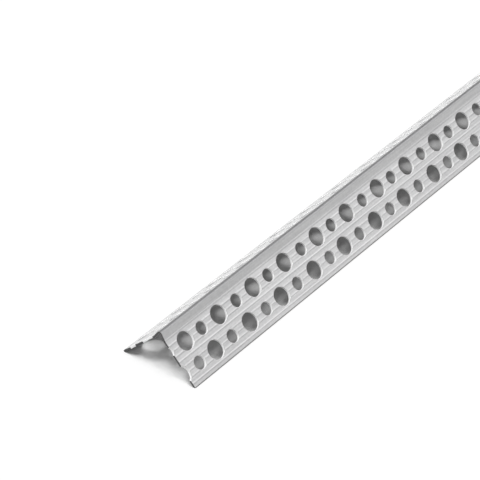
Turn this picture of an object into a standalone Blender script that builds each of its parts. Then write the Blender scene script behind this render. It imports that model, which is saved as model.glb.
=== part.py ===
"""Perforated aluminium corner profile, a plasterer's bead of 25 x 25 mm, cut to one metre.

It lies nose up along X, with its two free edges on the ground.
The origin is on the ground, half way along and half way between the free edges.
All sizes are in metres.
"""
import math

import bmesh
import bpy
from mathutils import Matrix, Vector

MM = 0.001

# Stock: one strip, bent along its middle
LENGTH = 1000.0 * MM
LEG_WIDTH = 25.0 * MM        # free edge to the outermost point of the nose
SHEET = 0.8 * MM             # thickness

# Nose: the rounded corner, which stands out past both legs so that plaster is levelled to it
NOSE_STAND = 0.8 * MM        # height of the nose over each leg's outer face
NOSE_RADIUS = 1.3 * MM       # outer radius of the round
NOSE_BAND = 4.6 * MM         # unpunched band, outermost point of the nose to the flat of the leg
NOSE_STEPS = 6               # facets round the nose

# Punching: each station has one large and one small hole a leg, and they swap rows at the next
STATION_STEP = 10.4 * MM
STATION_CREEP = 0.3 * MM     # pairs of stations sit this far late and early by turns
LARGE_HOLE = 7.7 * MM        # diameter
SMALL_HOLE = 5.4 * MM        # diameter
INNER_ROW = 9.0 * MM         # from the nose's outermost point
OUTER_ROW = 18.8 * MM        # from the nose's outermost point
FIRST_STATION = -2.4 * MM    # from the cut at -X, which misses this station's centre
END_WEB = 2.0 * MM           # least metal left between a hole and the cut at +X
LARGE_SIDES = 8
SMALL_SIDES = 6
PUNCH_REACH = 1.2 * MM       # the punches pass this far out of each face of the sheet

# Where the nose's round is centred: this far inside the outer face of each leg's flat
ROUND_DEPTH = NOSE_RADIUS - NOSE_STAND
RIGHT_ANGLE = math.radians(90.0)


def clear_scene():
    for item in list(bpy.data.objects):
        bpy.data.objects.remove(item, do_unlink=True)


def down_leg(side):
    """Unit vector down the leg at +Y (side 1) or at -Y (side -1)."""
    return Vector((0.0, side, -1.0)).normalized()


def out_of_leg(side):
    """Unit vector square to the same leg, away from the hollow."""
    return Vector((0.0, side, 1.0)).normalized()


def on_leg(side, along, out):
    """Point of the section, where along and out start at the corner of the legs' outer faces."""
    return down_leg(side) * along + out_of_leg(side) * out


def band_slope():
    """Angle between the nose's band, which is tangent to the round, and the flat of the leg."""
    run = NOSE_BAND - NOSE_STAND - ROUND_DEPTH
    return math.asin(NOSE_RADIUS / math.hypot(run, ROUND_DEPTH)) - math.atan2(ROUND_DEPTH, run)


def band_foot(depth):
    """Distance along the leg to the bend between band and flat, at this depth in the sheet."""
    return NOSE_BAND - NOSE_STAND - depth * math.tan(band_slope() / 2.0)


def nose_round(radius, steps):
    """Points round the nose at this radius, from the leg at -Y over the top to the leg at +Y."""
    centre = on_leg(1, ROUND_DEPTH, -ROUND_DEPTH)
    reach = RIGHT_ANGLE / 2.0 + band_slope()
    angles = [reach * (2.0 * step / steps - 1.0) for step in range(steps + 1)]
    return [centre + radius * Vector((0.0, math.sin(a), math.cos(a))) for a in angles]


def face_line(depth, steps):
    """One face of the bent sheet, from free edge to free edge, at this depth in the sheet."""
    edge = LEG_WIDTH - NOSE_STAND
    left = [on_leg(-1, edge, -depth), on_leg(-1, band_foot(depth), -depth)]
    right = [on_leg(1, band_foot(depth), -depth), on_leg(1, edge, -depth)]
    return left + nose_round(NOSE_RADIUS - depth, steps) + right


def bent_sheet():
    """The unpunched strip: its section drawn at the cut at -X and extruded along X."""
    outline = face_line(0.0, NOSE_STEPS) + face_line(SHEET, NOSE_STEPS // 2)[::-1]
    start = Vector((-LENGTH / 2.0, 0.0, 0.0))
    sheet = bmesh.new()
    end_face = sheet.faces.new([sheet.verts.new(start + point) for point in outline])
    swept = bmesh.ops.extrude_face_region(sheet, geom=[end_face])
    moved = [item for item in swept["geom"] if isinstance(item, bmesh.types.BMVert)]
    bmesh.ops.translate(sheet, vec=(LENGTH, 0.0, 0.0), verts=moved)
    bmesh.ops.recalc_face_normals(sheet, faces=sheet.faces)
    centre = on_leg(1, ROUND_DEPTH, -ROUND_DEPTH)
    for face in sheet.faces:
        away = [math.hypot(v.co.y - centre.y, v.co.z - centre.z) for v in face.verts]
        face.smooth = max(away) < NOSE_RADIUS * 1.001
    return sheet


def equal_area_radius(diameter, sides):
    """Corner radius of a regular polygon with the area of a round hole."""
    return diameter / 2.0 * math.sqrt(2.0 * math.pi / (sides * math.sin(2.0 * math.pi / sides)))


def add_punch(punches, side, row, station, large):
    """One punch through a leg, its centre on the middle of the sheet."""
    diameter, sides = (LARGE_HOLE, LARGE_SIDES) if large else (SMALL_HOLE, SMALL_SIDES)
    centre = on_leg(side, row - NOSE_STAND, -SHEET / 2.0)
    centre.x = station - LENGTH / 2.0
    radius = equal_area_radius(diameter, sides)
    bmesh.ops.create_cone(
        punches,
        cap_ends=True,
        segments=sides,
        radius1=radius,
        radius2=radius,
        depth=SHEET + 2.0 * PUNCH_REACH,
        matrix=Matrix.Translation(centre) @ Matrix.Rotation(-side * RIGHT_ANGLE / 2.0, 4, "X"),
    )


def punch_pattern():
    """All punches: large and small holes alternate along each row and across the whole strip."""
    last = LENGTH - END_WEB - LARGE_HOLE / 2.0 - STATION_CREEP
    stations = int((last - FIRST_STATION) / STATION_STEP) + 1
    punches = bmesh.new()
    for number in range(stations):
        late = number % 4 in (0, 1)
        station = FIRST_STATION + number * STATION_STEP + (STATION_CREEP if late else -STATION_CREEP)
        odd = number % 2 == 1
        add_punch(punches, -1, OUTER_ROW, station, not odd)
        add_punch(punches, -1, INNER_ROW, station, odd)
        add_punch(punches, 1, INNER_ROW, station, not odd)
        add_punch(punches, 1, OUTER_ROW, station, odd)
    return punches


def to_object(name, bm):
    mesh = bpy.data.meshes.new(name)
    bm.to_mesh(mesh)
    bm.free()
    item = bpy.data.objects.new(name, mesh)
    bpy.context.scene.collection.objects.link(item)
    return item


def mill_aluminium():
    material = bpy.data.materials.new("mill_aluminium")
    material.use_nodes = True
    surface = material.node_tree.nodes["Principled BSDF"]
    surface.inputs["Base Color"].default_value = (0.62, 0.62, 0.62, 1.0)
    surface.inputs["Metallic"].default_value = 1.0
    surface.inputs["Roughness"].default_value = 0.38
    return material


def build():
    clear_scene()
    profile = to_object("corner_profile", bent_sheet())
    profile.data.materials.append(mill_aluminium())

    punches = to_object("punches", punch_pattern())
    punches.parent = profile
    punches.hide_render = True
    punches.display_type = "WIRE"

    punching = profile.modifiers.new("punching", "BOOLEAN")
    punching.operation = "DIFFERENCE"
    punching.solver = "EXACT"
    punching.object = punches

    # The inner corner of each square-cut free edge is what touches the ground
    foot = on_leg(1, LEG_WIDTH - NOSE_STAND, -SHEET)
    profile.location.z = -foot.z


build()
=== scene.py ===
"""A perforated aluminium corner profile, cut to one metre, lying nose up on a pale studio table.

All sizes are in metres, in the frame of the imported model.
"""
import math

import bmesh
import bpy
from mathutils import Matrix, Vector


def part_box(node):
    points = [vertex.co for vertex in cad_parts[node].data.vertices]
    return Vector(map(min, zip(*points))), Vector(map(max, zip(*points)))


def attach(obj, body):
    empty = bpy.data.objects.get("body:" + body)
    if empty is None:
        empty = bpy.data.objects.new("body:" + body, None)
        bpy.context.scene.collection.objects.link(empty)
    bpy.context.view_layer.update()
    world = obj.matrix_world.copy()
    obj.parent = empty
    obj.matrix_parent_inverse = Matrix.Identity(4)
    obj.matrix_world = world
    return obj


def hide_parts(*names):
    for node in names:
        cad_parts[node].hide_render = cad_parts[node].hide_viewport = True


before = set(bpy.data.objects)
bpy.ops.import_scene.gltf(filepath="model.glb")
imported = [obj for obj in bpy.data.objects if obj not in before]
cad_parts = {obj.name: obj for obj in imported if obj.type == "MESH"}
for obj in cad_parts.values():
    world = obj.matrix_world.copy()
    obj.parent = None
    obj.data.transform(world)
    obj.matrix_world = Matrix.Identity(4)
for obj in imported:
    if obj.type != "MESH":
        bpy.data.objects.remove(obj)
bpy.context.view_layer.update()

view = bpy.context.scene.view_settings
view.view_transform = "Standard"


# The camera
# It looks down on the strip from in front of the cut end at -X, from far off with a long lens.
CAMERA_PLACE = Vector((-1.1270, -0.4875, 0.6625))
CAMERA_HEADING = math.radians(54.18)      # from +Y towards +X
CAMERA_DIP = math.radians(37.10)          # below level
CAMERA_ROLL = math.radians(2.23)          # about the line of sight
CAMERA_LENS_MM = 207.45
CAMERA_NEAREST = 0.05                     # what stands nearer isn't drawn

camera_data = bpy.data.cameras.new("camera")
camera_data.lens = CAMERA_LENS_MM
camera_data.clip_start = CAMERA_NEAREST
camera = bpy.data.objects.new("camera", camera_data)
camera.matrix_world = (
    Matrix.Translation(CAMERA_PLACE)
    @ Matrix.Rotation(-CAMERA_HEADING, 4, "Z")
    @ Matrix.Rotation(math.pi / 2.0 - CAMERA_DIP, 4, "X")
    @ Matrix.Rotation(CAMERA_ROLL, 4, "Z")
)
bpy.context.scene.collection.objects.link(camera)
bpy.context.scene.camera = camera


# The strip
# One strip of aluminium, extruded with fine ribs along the outside of both legs and a raised
# round nose between them, then punched with large and small round holes in a chequered pattern.
# The punches enter from outside, so each hole has a drawn-in rim there and a sheared wall.
MM = 0.001
low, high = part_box("corner_profile")

SHEET = 0.8 * MM
NOSE_STAND = 0.8 * MM        # height of the nose over each leg's outer face
NOSE_RADIUS = 1.3 * MM
NOSE_BAND = 4.6 * MM         # outermost point of the nose to the flat of the leg
NOSE_STEPS = 14
ROUND_DEPTH = NOSE_RADIUS - NOSE_STAND     # centre of the nose's round, below both outer faces
ROUND_LIMIT = NOSE_RADIUS * 1.001          # faces within this of that centre belong to the round
EDGE = high.y * math.sqrt(2.0)             # legs' outer corner to a free edge, along the leg
CORNER_HEIGHT = (EDGE + SHEET) / math.sqrt(2.0)
EDGE_ROUND = 0.05 * MM       # the free edges' corners are broken by this much
SMOOTH_BELOW = math.radians(12.0)          # the ribs stay smooth, and steeper edges sharp

RIB_STEP = 2.37 * MM
FIRST_RIB = 3.7 * MM         # from the legs' outer corner, at the foot of the nose's band
RIBS = 9
RIB_HEIGHT = 0.10 * MM
RIB_HALF_WIDTH = 0.48 * MM

STATION_STEP = 10.4 * MM
STATION_CREEP = 0.3 * MM     # pairs of stations sit this far late and early by turns
FIRST_STATION = low.x - 2.4 * MM
LARGE_HOLE = 7.7 * MM
SMALL_HOLE = 5.4 * MM
INNER_ROW = 9.0 * MM         # from the nose's outermost point
OUTER_ROW = 18.8 * MM
END_WEB = 2.0 * MM           # least metal left between a hole and the cut at +X
HOLE_SIDES = 32
HOLE_RIM = 0.22 * MM         # radius of the rim that the punch draws in
FLARE = math.radians(30.0)   # slope of the rim where it meets the outer face
PUNCH_REACH = 0.6 * MM       # the punches pass this far out of the inner face
RIM_REACH = 0.25 * MM        # and this far out of the ribbed outer face
MILL, NOSE_PAINTED_SHADE, SHEARED_PAINTED_HIGHLIGHT, SAWN_PAINTED_SHADE = range(4)     # the strip's finishes, in the order of its materials


def in_section(side, along, out):
    """Point of the section: along runs down the leg at +Y (1) or -Y (-1), out is square to it."""
    down = Vector((0.0, side, -1.0)).normalized()
    outward = Vector((0.0, side, 1.0)).normalized()
    return Vector((0.0, 0.0, CORNER_HEIGHT)) + down * along + outward * out


def band_slope():
    """Angle between the nose's band and the flat of the leg."""
    run = NOSE_BAND - NOSE_STAND - ROUND_DEPTH
    return math.asin(NOSE_RADIUS / math.hypot(run, ROUND_DEPTH)) - math.atan2(ROUND_DEPTH, run)


def nose_round(radius, steps):
    """Points round the nose from the leg at -Y over the top to the leg at +Y."""
    centre = in_section(1, ROUND_DEPTH, -ROUND_DEPTH)
    reach = math.pi / 4.0 + band_slope()
    angles = [reach * (2.0 * step / steps - 1.0) for step in range(steps + 1)]
    return [centre + radius * Vector((0.0, math.sin(a), math.cos(a))) for a in angles]


def ribbed_face(side):
    """Outer face of one leg from the nose's band to the free edge, with its ribs."""
    band_end = NOSE_BAND - NOSE_STAND
    points = []
    for rib in range(RIBS):
        for step in (-1.0, -0.5, 0.0, 0.5, 1.0):
            along = FIRST_RIB + rib * RIB_STEP + step * RIB_HALF_WIDTH
            ground = max(0.0, (band_end - along) * math.tan(band_slope()))
            points.append(in_section(side, along, ground + RIB_HEIGHT * (1.0 - step * step)))
    points.append(in_section(side, EDGE - EDGE_ROUND, 0.0))
    points.append(in_section(side, EDGE, -EDGE_ROUND))
    return points


def inner_face(side):
    """Inner face of one leg, from the foot of the nose's band to the free edge."""
    band_end = NOSE_BAND - NOSE_STAND - SHEET * math.tan(band_slope() / 2.0)
    return [in_section(side, band_end, -SHEET), in_section(side, EDGE, -SHEET)]


def extruded_strip():
    """The whole strip before punching, with a finish on each face."""
    outside = ribbed_face(-1)[::-1] + nose_round(NOSE_RADIUS, NOSE_STEPS) + ribbed_face(1)
    inner_round = nose_round(NOSE_RADIUS - SHEET, NOSE_STEPS // 2)
    inside = inner_face(1)[::-1] + inner_round[::-1] + inner_face(-1)
    strip = bmesh.new()
    end_face = strip.faces.new([strip.verts.new((low.x, p.y, p.z)) for p in outside + inside])
    swept = bmesh.ops.extrude_face_region(strip, geom=[end_face])
    moved = [item for item in swept["geom"] if isinstance(item, bmesh.types.BMVert)]
    bmesh.ops.translate(strip, vec=(high.x - low.x, 0.0, 0.0), verts=moved)
    bmesh.ops.recalc_face_normals(strip, faces=strip.faces)
    centre = in_section(1, ROUND_DEPTH, -ROUND_DEPTH)
    for face in strip.faces:
        away = max((Vector((0.0, v.co.y, v.co.z)) - centre).length for v in face.verts)
        # the cut ends: the sawn finish, painted dark grey as shade
        if abs(face.normal.x) > 0.5:
            face.material_index = SAWN_PAINTED_SHADE
        # the round of the nose: the rougher finish, painted a little darker as shade
        elif away < ROUND_LIMIT:
            face.material_index = NOSE_PAINTED_SHADE
        else:
            face.material_index = MILL
    return strip


def add_punch(punches, side, row, station, large):
    """One punch, turned about the hole's axis: its shank cuts the wall, its flare the rim."""
    radius = LARGE_HOLE / 2.0 if large else SMALL_HOLE / 2.0
    centre = in_section(side, row - NOSE_STAND, 0.0)
    out = Vector((0.0, side, 1.0)).normalized()
    across = Vector((0.0, 1.0, -side)).normalized()
    narrow = HOLE_RIM * (1.0 - math.cos(FLARE))
    wide = HOLE_RIM * (1.0 - math.sin(FLARE))
    rings = []
    for height, ring_radius in (
        (-SHEET - PUNCH_REACH, radius),
        (-HOLE_RIM, radius),
        (-wide, radius + narrow),
        (-narrow, radius + wide),
        (RIM_REACH, radius + wide + RIM_REACH / math.tan(FLARE)),
    ):
        ring = []
        for step in range(HOLE_SIDES):
            angle = 2.0 * math.pi * (step + 0.5) / HOLE_SIDES
            spoke = Vector((math.cos(angle), 0.0, 0.0)) + across * math.sin(angle)
            place = centre + out * height + spoke * ring_radius
            ring.append(punches.verts.new((place.x + station, place.y, place.z)))
        rings.append(ring)
    for lower, upper in zip(rings, rings[1:]):
        for step in range(HOLE_SIDES):
            following = (step + 1) % HOLE_SIDES
            wall = punches.faces.new((lower[step], lower[following], upper[following], upper[step]))
            # walls and rims: the sheared finish, painted near white as a highlight
            wall.material_index = SHEARED_PAINTED_HIGHLIGHT
    punches.faces.new(rings[0])
    punches.faces.new(rings[-1])


def punch_pattern():
    """All punches: large and small holes alternate along each row and across the whole strip."""
    last = high.x - END_WEB - LARGE_HOLE / 2.0 - STATION_CREEP
    stations = int((last - FIRST_STATION) / STATION_STEP) + 1
    punches = bmesh.new()
    for number in range(stations):
        creep = STATION_CREEP if number % 4 in (0, 1) else -STATION_CREEP
        station = FIRST_STATION + number * STATION_STEP + creep
        odd = number % 2 == 1
        add_punch(punches, -1, OUTER_ROW, station, not odd)
        add_punch(punches, -1, INNER_ROW, station, odd)
        add_punch(punches, 1, INNER_ROW, station, not odd)
        add_punch(punches, 1, OUTER_ROW, station, odd)
    bmesh.ops.recalc_face_normals(punches, faces=punches.faces)
    return punches


def to_object(name, bm):
    """Object in the scene with the mesh that was drawn."""
    mesh = bpy.data.meshes.new(name)
    bm.to_mesh(mesh)
    bm.free()
    item = bpy.data.objects.new(name, mesh)
    bpy.context.scene.collection.objects.link(item)
    return item


def linear(hex_colour):
    """Linear colour of an sRGB hex value."""
    channels = [int(hex_colour[i:i + 2], 16) / 255.0 for i in (1, 3, 5)]
    levels = [c / 12.92 if c <= 0.04045 else ((c + 0.055) / 1.055) ** 2.4 for c in channels]
    return (*levels, 1.0)


def add_node(tree, kind, settings=None, links=None):
    """Adds a node; settings name its inputs or properties, and links its inputs' sources."""
    node = tree.nodes.new(kind)
    for name, value in (settings or {}).items():
        if isinstance(name, int) or name in node.inputs:
            node.inputs[name].default_value = value
        else:
            setattr(node, name, value)
    for name, source in (links or {}).items():
        tree.links.new(source, node.inputs[name])
    return node


# Mill-finish aluminium, as it comes from the extrusion die: bare, satin, with fine lines drawn
# along the strip. The eye sees pale neutral grey with thin streaks, never a sharp reflection.
# The coat is the thin film of oil that is left on it.
STREAK_WIDTH = 0.45 * MM     # die lines are finer: they are drawn as coarse as they need to show
STREAK_LENGTH = 14.0 * MM
LINE_DEPTH = 0.012 * MM
GRAIN = 0.5 * MM
MOTTLE = 30.0 * MM
ONE_UNIT = 0.5               # scale at which the spots of a noise texture are one unit wide

mill = bpy.data.materials.new("mill_finish_aluminium")
mill.use_nodes = True
tree = mill.node_tree
surface = tree.nodes["Principled BSDF"]
place = add_node(tree, "ShaderNodeTexCoord").outputs["Object"]
drawn = add_node(
    tree, "ShaderNodeVectorMath",
    {"operation": "MULTIPLY", 1: (1.0 / STREAK_LENGTH, 1.0 / STREAK_WIDTH, 1.0 / STREAK_WIDTH)},
    {0: place},
).outputs["Vector"]
streaks = add_node(
    tree, "ShaderNodeTexNoise",
    {"Scale": ONE_UNIT, "Detail": 2.0, "Roughness": 0.6},
    {"Vector": drawn},
).outputs["Fac"]
grain = add_node(
    tree, "ShaderNodeTexNoise", {"Scale": ONE_UNIT / GRAIN, "Detail": 1.0}, {"Vector": place}
).outputs["Fac"]
mottle = add_node(
    tree, "ShaderNodeTexNoise", {"Scale": ONE_UNIT / MOTTLE, "Detail": 2.0}, {"Vector": place}
).outputs["Fac"]
fine = add_node(
    tree, "ShaderNodeMix", {"data_type": "FLOAT", "Factor": 0.35}, {2: streaks, 3: grain}
).outputs[0]
tone = add_node(
    tree, "ShaderNodeMix", {"data_type": "FLOAT", "Factor": 0.25}, {2: fine, 3: mottle}
).outputs[0]
spread = add_node(
    tree, "ShaderNodeMapRange", {"From Min": 0.3, "From Max": 0.7}, {"Value": tone}
).outputs[0]
colour = add_node(
    tree, "ShaderNodeMix",
    {"data_type": "RGBA", 6: linear("#bbbbbc"), 7: linear("#dedede")},
    {0: spread},
).outputs[2]
roughness = add_node(
    tree, "ShaderNodeMapRange", {"To Min": 0.28, "To Max": 0.36}, {"Value": spread}
).outputs[0]
relief = add_node(
    tree, "ShaderNodeBump", {"Strength": 1.0, "Distance": LINE_DEPTH}, {"Height": fine}
).outputs["Normal"]
tree.links.new(colour, surface.inputs["Base Color"])
tree.links.new(roughness, surface.inputs["Roughness"])
tree.links.new(relief, surface.inputs["Normal"])
surface.inputs["Metallic"].default_value = 1.0
surface.inputs["Coat Weight"].default_value = 1.0
surface.inputs["Coat Roughness"].default_value = 0.20

# Aluminium on the round of the nose, which stands proud: rougher and duller than the mill finish,
# and its colour a little darker as painted shade, for the shade that falls on the nose's top.
rough_nose_painted_shade = bpy.data.materials.new("rough_aluminium_nose_painted_shade")
rough_nose_painted_shade.use_nodes = True
surface = rough_nose_painted_shade.node_tree.nodes["Principled BSDF"]
surface.inputs["Base Color"].default_value = linear("#c4c4c5")
surface.inputs["Metallic"].default_value = 1.0
surface.inputs["Roughness"].default_value = 0.48

# Sheared aluminium, where the punch went through, on the holes' walls and rims: freshly torn,
# rougher than the mill finish and scattering the light almost like chalk, and painted near white as
# a highlight, for the bright crescents that the light makes on them.
TEAR_WIDTH = 0.3 * MM
TEAR_DEPTH = 0.02 * MM

sheared_painted_highlight = bpy.data.materials.new("sheared_aluminium_painted_highlight")
sheared_painted_highlight.use_nodes = True
tree = sheared_painted_highlight.node_tree
surface = tree.nodes["Principled BSDF"]
place = add_node(tree, "ShaderNodeTexCoord").outputs["Object"]
tears = add_node(
    tree, "ShaderNodeTexNoise", {"Scale": ONE_UNIT / TEAR_WIDTH, "Detail": 2.0}, {"Vector": place}
).outputs["Fac"]
colour = add_node(
    tree, "ShaderNodeMix",
    {"data_type": "RGBA", 6: linear("#f0f0f0"), 7: linear("#fcfcfc")},
    {0: tears},
).outputs[2]
relief = add_node(
    tree, "ShaderNodeBump", {"Strength": 1.0, "Distance": TEAR_DEPTH}, {"Height": tears}
).outputs["Normal"]
tree.links.new(colour, surface.inputs["Base Color"])
tree.links.new(relief, surface.inputs["Normal"])
surface.inputs["Metallic"].default_value = 0.2
surface.inputs["Roughness"].default_value = 0.6

# Sawn aluminium, on the two ends: rough from the blade, and painted dark grey as shade, for the
# shade that lies on the cut ends.
sawn_painted_shade = bpy.data.materials.new("sawn_aluminium_painted_shade")
sawn_painted_shade.use_nodes = True
surface = sawn_painted_shade.node_tree.nodes["Principled BSDF"]
surface.inputs["Base Color"].default_value = linear("#565656")
surface.inputs["Metallic"].default_value = 0.7
surface.inputs["Roughness"].default_value = 0.6

strip = to_object("punched_strip", extruded_strip())
punches = to_object("punches", punch_pattern())
for finish in (mill, rough_nose_painted_shade, sheared_painted_highlight, sawn_painted_shade):
    strip.data.materials.append(finish)
    punches.data.materials.append(finish)
punching = strip.modifiers.new("punching", "BOOLEAN")
punching.operation = "DIFFERENCE"
punching.solver = "EXACT"
punching.material_mode = "TRANSFER"
punching.object = punches
evaluated = strip.evaluated_get(bpy.context.evaluated_depsgraph_get())
punched = bpy.data.meshes.new_from_object(evaluated)
strip.modifiers.clear()
strip.data = punched
bpy.data.objects.remove(punches, do_unlink=True)
punched.shade_smooth()
punched.set_sharp_from_angle(angle=SMOOTH_BELOW)

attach(strip, "root")
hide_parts("corner_profile")


# The table
# A wide sheet of matt white laminate. Seen by the camera, or in the metal, it glows enough to
# read as pure white where it lies open; near and under the strip the glow fades by how much the
# strip hides of it, a painted shade over the shading that the lamps give it.
TABLE_SIZE = 8.0
TABLE_GLOW = 0.62
OPEN_REACH = 24.0 * MM       # what stands nearer than this shades the glow
SHADED = 0.48                # openness up to which the table has no glow
OPEN = 0.62                  # openness from which it has all of it

laminate = bpy.data.materials.new("matt_white_laminate")
laminate.use_nodes = True
tree = laminate.node_tree
surface = tree.nodes["Principled BSDF"]
rays = add_node(tree, "ShaderNodeLightPath").outputs
seen = rays["Is Camera Ray"]
for kind in ("Is Glossy Ray", "Is Transmission Ray"):
    seen = add_node(
        tree, "ShaderNodeMath", {"operation": "MAXIMUM"}, {0: seen, 1: rays[kind]}
    ).outputs[0]
openness = add_node(tree, "ShaderNodeAmbientOcclusion", {"Distance": OPEN_REACH}).outputs["AO"]
glow = add_node(
    tree, "ShaderNodeMapRange",
    {"From Min": SHADED, "From Max": OPEN, "To Min": 0.0, "To Max": TABLE_GLOW},
    {"Value": openness},
).outputs[0]
glow = add_node(tree, "ShaderNodeMath", {"operation": "MULTIPLY"}, {0: glow, 1: seen}).outputs[0]
tree.links.new(glow, surface.inputs["Emission Strength"])
surface.inputs["Emission Color"].default_value = linear("#ffffff")
surface.inputs["Base Color"].default_value = linear("#b0b0b0")
surface.inputs["Roughness"].default_value = 0.9
surface.inputs["Specular IOR Level"].default_value = 0.1

top = bmesh.new()
bmesh.ops.create_grid(top, x_segments=1, y_segments=1, size=TABLE_SIZE / 2.0)
table = to_object("table", top)
table.data.materials.append(laminate)


# The light
# Three far soft boxes in a dim room: a large one high up behind the strip, a small faint one to
# its right, which picks out the ribs, and a wide dim one beyond its cut end, which fills the holes'
# walls. Round the small one hangs a broad pale card. Behind the strip and its cut end, the table's
# white sweep rises from the horizon.
LARGE_BOX_PLACE = Vector((-0.36, 0.41, 1.0))    # direction from the strip
LARGE_BOX_WIDTH = math.radians(16.0)
LARGE_BOX_STRENGTH = 1.85
SMALL_BOX_PLACE = Vector((0.63, -0.39, 0.67))
SMALL_BOX_WIDTH = math.radians(24.0)
SMALL_BOX_STRENGTH = 0.10
WIDE_BOX_PLACE = Vector((-0.90, 0.0, 0.45))
WIDE_BOX_WIDTH = math.radians(40.0)
WIDE_BOX_STRENGTH = 0.78
CARD_PLACE = Vector((0.60, -0.55, 0.58))
CARD_HALF_WIDTH = math.radians(50.0)
CARD_LEVEL = 0.93                                 # over the room's, in the card's middle
ROOM_LEVEL = 0.09
SWEEP_PLACE = Vector((-0.34, 0.94, 0.0))
SWEEP_LEVEL = 0.85                                # over the room's, on the horizon there
SWEEP_FOOT = 0.04                                 # sine of the height up to which it is full
SWEEP_TOP = 0.80                                  # sine of the height where it ends
SWEEP_SIDES = 0.4                                 # sine of the turn over which its sides fade


def add_soft_box(name, place, width, strength):
    """A far soft box in the direction of the place, as wide as the angle."""
    data = bpy.data.lights.new(name, "SUN")
    data.energy = strength
    data.angle = width
    lamp = bpy.data.objects.new(name, data)
    lamp.rotation_euler = place.to_track_quat("Z", "Y").to_euler()
    bpy.context.scene.collection.objects.link(lamp)


add_soft_box("large_soft_box", LARGE_BOX_PLACE, LARGE_BOX_WIDTH, LARGE_BOX_STRENGTH)
add_soft_box("small_soft_box", SMALL_BOX_PLACE, SMALL_BOX_WIDTH, SMALL_BOX_STRENGTH)
add_soft_box("wide_soft_box", WIDE_BOX_PLACE, WIDE_BOX_WIDTH, WIDE_BOX_STRENGTH)

room = bpy.data.worlds.new("room_with_card")
room.use_nodes = True
bpy.context.scene.world = room
tree = room.node_tree
towards = add_node(tree, "ShaderNodeTexCoord").outputs["Generated"]
nearness = add_node(
    tree, "ShaderNodeVectorMath",
    {"operation": "DOT_PRODUCT", 1: CARD_PLACE.normalized()},
    {0: towards},
).outputs["Value"]
card = add_node(
    tree, "ShaderNodeMapRange",
    {
        "From Min": math.cos(CARD_HALF_WIDTH),
        "To Min": ROOM_LEVEL,
        "To Max": ROOM_LEVEL + CARD_LEVEL,
    },
    {"Value": nearness},
).outputs[0]
direction = add_node(tree, "ShaderNodeSeparateXYZ", {}, {"Vector": towards}).outputs
sweep = add_node(
    tree, "ShaderNodeMapRange",
    {"From Min": SWEEP_TOP, "From Max": SWEEP_FOOT, "To Max": SWEEP_LEVEL},
    {"Value": direction["Z"]},
).outputs[0]
sideways = add_node(
    tree, "ShaderNodeVectorMath", {"operation": "DOT_PRODUCT", 1: SWEEP_PLACE}, {0: towards}
).outputs["Value"]
behind = add_node(
    tree, "ShaderNodeMapRange", {"From Min": 0.0, "From Max": SWEEP_SIDES}, {"Value": sideways}
).outputs[0]
light = add_node(
    tree, "ShaderNodeMath", {"operation": "MULTIPLY_ADD"}, {0: sweep, 1: behind, 2: card}
).outputs[0]
tree.links.new(light, tree.nodes["Background"].inputs["Strength"])
tree.nodes["Background"].inputs["Color"].default_value = linear("#ffffff")
